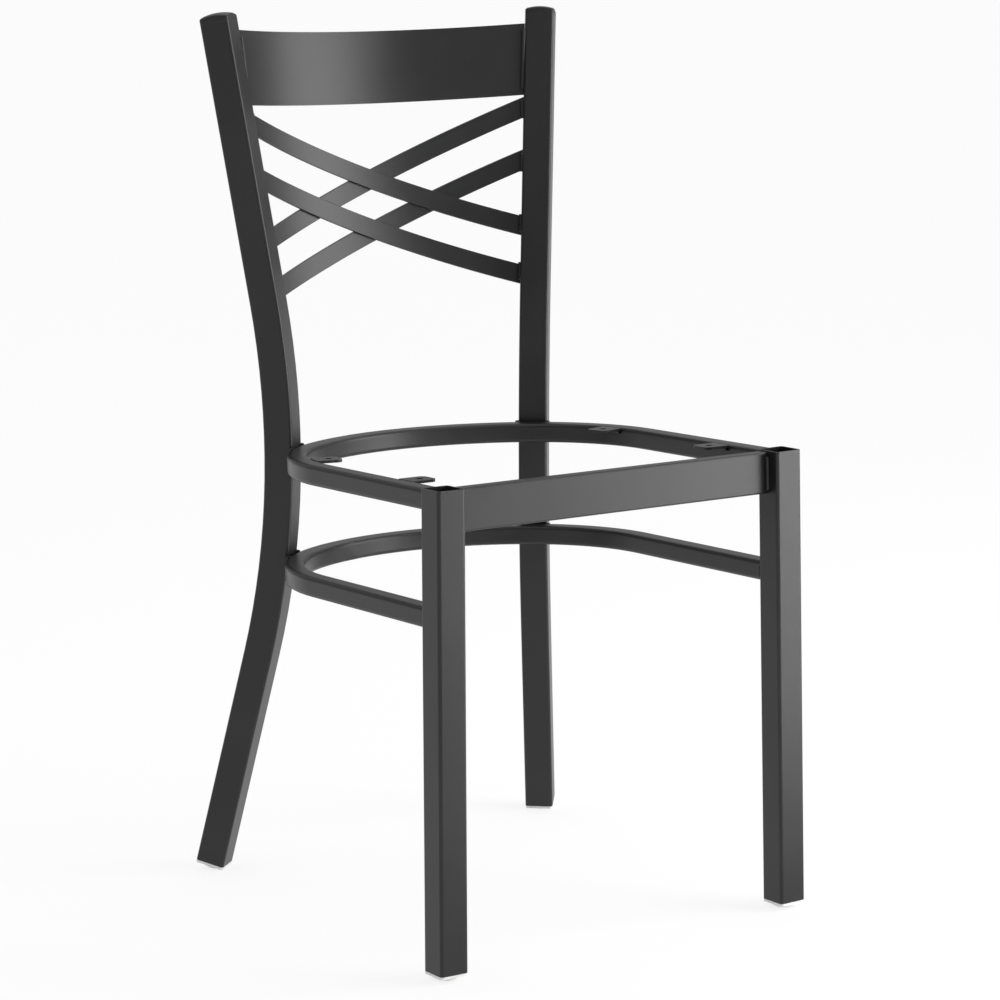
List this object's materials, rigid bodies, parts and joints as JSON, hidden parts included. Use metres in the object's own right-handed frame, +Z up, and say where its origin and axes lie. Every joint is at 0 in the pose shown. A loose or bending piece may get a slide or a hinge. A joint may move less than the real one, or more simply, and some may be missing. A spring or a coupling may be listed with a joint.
{
  "type": "cross back chair frame",
  "caption": "Bare welded metal frame of a cross back dining chair: square tube legs, bent rear posts, curved head panel, crossed slats, seat hoop with drilled tabs and a stretcher hoop.",
  "frame": {"origin": "on the floor, under the centre of the frame's bounding box", "axes": "+Z up, +X to the right as seen from the front, +Y to the back; the front of the chair faces -Y"},
  "size_m": [0.4276, 0.4592, 0.8315],
  "materials": {
    "frame_coat": "satin black powder coat",
    "cap_plastic": "moulded black",
    "glide_plastic": "natural white, slightly translucent"
  },
  "bodies": {
    "root": {"front_leg_left": "frame_coat", "front_leg_right": "frame_coat", "rear_post_left": "frame_coat", "rear_post_right": "frame_coat", "post_cap_left": "cap_plastic", "post_cap_right": "cap_plastic", "front_rail": "frame_coat", "seat_hoop": "frame_coat", "stretcher_hoop": "frame_coat", "top_panel": "frame_coat", "front_slat_upper": "frame_coat", "front_slat_lower": "frame_coat", "rear_slat_upper": "frame_coat", "rear_slat_lower": "frame_coat", "seat_tab_front_left": "frame_coat", "seat_tab_front_right": "frame_coat", "seat_tab_rear_left": "frame_coat", "seat_tab_rear_right": "frame_coat", "glide_front_left": "glide_plastic", "glide_front_right": "glide_plastic", "glide_rear_left": "glide_plastic", "glide_rear_right": "glide_plastic", "rail_welds": "frame_coat", "hoop_leg_welds": "frame_coat", "hoop_post_welds": "frame_coat", "panel_welds": "frame_coat", "slat_welds": "frame_coat", "tab_welds": "frame_coat"}
  },
  "joints": []
}
